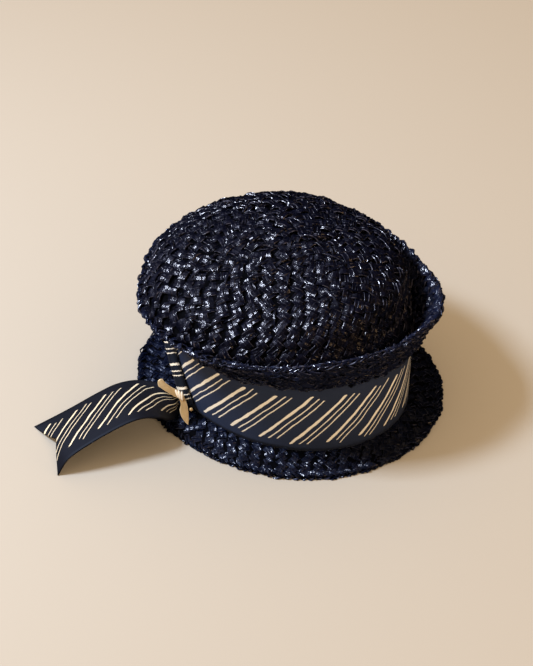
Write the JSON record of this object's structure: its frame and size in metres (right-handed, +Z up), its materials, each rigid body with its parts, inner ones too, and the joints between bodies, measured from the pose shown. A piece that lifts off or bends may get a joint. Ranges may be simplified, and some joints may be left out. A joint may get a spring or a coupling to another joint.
{
  "type": "breton hat",
  "caption": "Straw breton hat: domed oval crown, upturned upper brim, flat lower brim, wide ribbon with a rolled end, a gilt tie and a loose tail.",
  "frame": {"origin": "centre of the box of the whole hat with its loose ribbon end, at the surface the hat stands on", "axes": "+Z up through the crown; +X along the long axis of the oval crown; the gilt tie and the loose ribbon end are on the -Y side"},
  "size_m": [0.2458, 0.3048, 0.1437],
  "materials": {
    "straw": "glossy lacquered plaited straw",
    "ribbon": "matt grosgrain with tan stripes",
    "gilt": "satin gilt"
  },
  "bodies": {
    "root": {"crown": "straw", "upturned_brim": "straw", "lower_brim": "straw", "ribbon_band": "ribbon", "ribbon_roll": "ribbon", "ribbon_tail": "ribbon", "gilt_tie": "gilt"}
  },
  "joints": []
}
